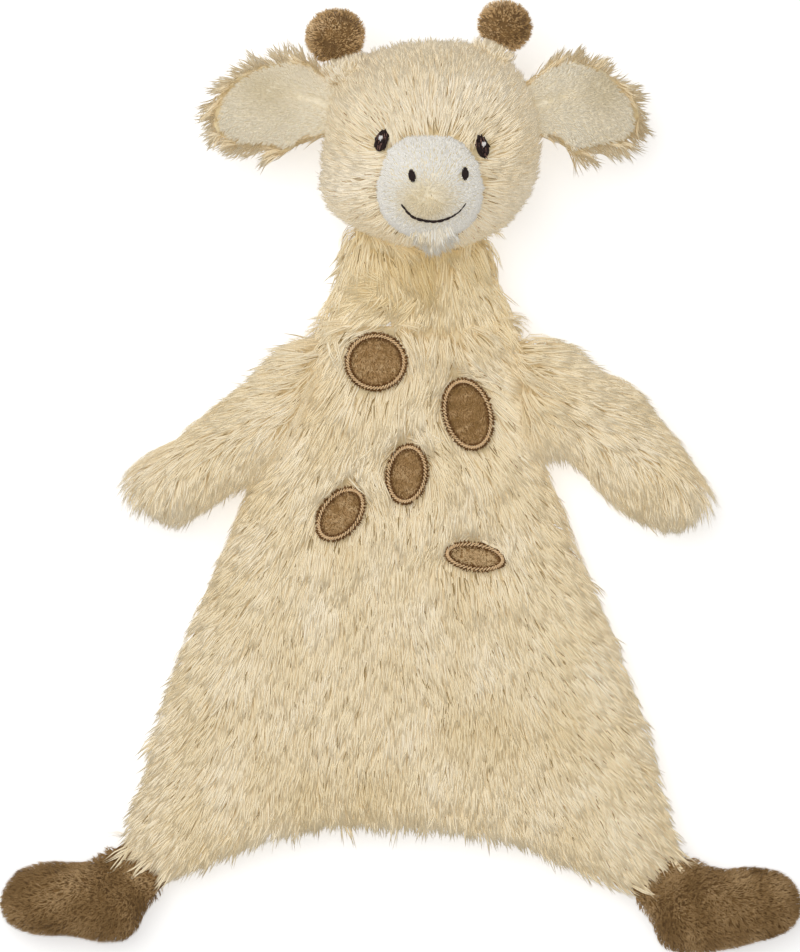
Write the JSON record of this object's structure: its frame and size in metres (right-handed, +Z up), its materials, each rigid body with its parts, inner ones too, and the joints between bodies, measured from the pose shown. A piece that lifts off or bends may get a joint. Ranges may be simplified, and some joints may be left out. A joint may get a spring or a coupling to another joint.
{
  "type": "comfort blanket lovey",
  "caption": "Flat plush giraffe comfort blanket with a stuffed head, ears and knobbed horns, furry arms, spotted body panel and brown plush feet.",
  "frame": {"origin": "middle of the box that holds the toy, at the level of the surface that it lies on", "axes": "+Z up out of the face and the spotted front, +Y toward the head, +X to the right of a viewer who looks down at the face"},
  "size_m": [0.2348, 0.281, 0.0594],
  "materials": {
    "long_pile": "matte",
    "tan_pile": "matte",
    "cream_plush": "matte",
    "muzzle_plush": "matte",
    "brown_plush": "matte",
    "spot_plush": "matte",
    "border_thread": "satin",
    "dark_thread": "satin",
    "light_thread": "satin",
    "wadding": "matte"
  },
  "bodies": {
    "torso": {"torso_front_panel": "long_pile", "torso_back_panel": "long_pile", "spot_1": "spot_plush", "spot_2": "spot_plush", "spot_3": "spot_plush", "spot_4": "spot_plush", "spot_5": "spot_plush", "spot_border_1": "border_thread", "spot_border_2": "border_thread", "spot_border_3": "border_thread", "spot_border_4": "border_thread", "spot_border_5": "border_thread"},
    "neck": {"neck_front_panel": "tan_pile", "neck_back_panel": "tan_pile", "neck_filling": "wadding"},
    "head": {"head_front_panel": "long_pile", "head_back_panel": "long_pile", "head_filling": "wadding", "muzzle_cover": "muzzle_plush", "muzzle_filling": "wadding", "nostril_left": "dark_thread", "nostril_right": "dark_thread", "mouth_stitching": "dark_thread", "eye_left": "dark_thread", "eye_right": "dark_thread", "eye_glint_left": "light_thread", "eye_glint_right": "light_thread"},
    "ear_left": {"ear_inner_left": "cream_plush", "ear_outer_left": "tan_pile"},
    "ear_right": {"ear_inner_right": "cream_plush", "ear_outer_right": "tan_pile"},
    "horn_left": {"horn_stalk_left": "cream_plush", "horn_knob_left": "brown_plush", "horn_filling_left": "wadding"},
    "horn_right": {"horn_stalk_right": "cream_plush", "horn_knob_right": "brown_plush", "horn_filling_right": "wadding"},
    "arm_left": {"arm_front_panel_left": "long_pile", "arm_back_panel_left": "long_pile", "arm_filling_left": "wadding"},
    "arm_right": {"arm_front_panel_right": "long_pile", "arm_back_panel_right": "long_pile", "arm_filling_right": "wadding"},
    "foot_left": {"foot_front_panel_left": "brown_plush", "foot_back_panel_left": "brown_plush", "foot_filling_left": "wadding"},
    "foot_right": {"foot_front_panel_right": "brown_plush", "foot_back_panel_right": "brown_plush", "foot_filling_right": "wadding"}
  },
  "joints": [
    {"name": "neck_fold", "type": "hinge", "parent": "torso", "child": "neck", "pos_m": [0.00584, 0.04527, 0.015], "axis": [1, 0, 0], "range_deg": [0, 100]},
    {"name": "head_turn", "type": "hinge", "parent": "neck", "child": "head", "pos_m": [0.00924, 0.09647, 0.0245], "axis": [0, 1, 0], "range_deg": [-40, 40], "stiffness_Nm_per_rad": 0.05},
    {"name": "ear_left_flap", "type": "hinge", "parent": "head", "child": "ear_left", "pos_m": [-0.02373, 0.10826, 0.0245], "axis": [0.2852, 0.9585, 0], "range_deg": [-35, 35], "stiffness_Nm_per_rad": 0.02},
    {"name": "ear_right_flap", "type": "hinge", "parent": "head", "child": "ear_right", "pos_m": [0.0422, 0.10826, 0.0245], "axis": [0.2852, -0.9585, 0], "range_deg": [-35, 35], "stiffness_Nm_per_rad": 0.02},
    {"name": "horn_left_bend", "type": "hinge", "parent": "head", "child": "horn_left", "pos_m": [-0.01771, 0.12265, 0.0245], "axis": [0.9563, 0.2924, 0], "range_deg": [-25, 25], "stiffness_Nm_per_rad": 0.02},
    {"name": "horn_right_bend", "type": "hinge", "parent": "head", "child": "horn_right", "pos_m": [0.02918, 0.12789, 0.0245], "axis": [0.9135, -0.4067, 0], "range_deg": [-25, 25], "stiffness_Nm_per_rad": 0.02},
    {"name": "arm_left_fold", "type": "hinge", "parent": "torso", "child": "arm_left", "pos_m": [-0.03472, 0.01797, 0.015], "axis": [0.4176, 0.9086, 0], "range_deg": [0, 90]},
    {"name": "arm_right_fold", "type": "hinge", "parent": "torso", "child": "arm_right", "pos_m": [0.04009, 0.02139, 0.015], "axis": [0.2032, -0.9791, 0], "range_deg": [0, 90]},
    {"name": "foot_left_fold", "type": "hinge", "parent": "torso", "child": "foot_left", "pos_m": [-0.0774, -0.1187, 0.015], "axis": [-0.7763, 0.6304, 0], "range_deg": [0, 90]},
    {"name": "foot_right_fold", "type": "hinge", "parent": "torso", "child": "foot_right", "pos_m": [0.07639, -0.12125, 0.015], "axis": [-0.7889, -0.6145, 0], "range_deg": [0, 90]}
  ]
}
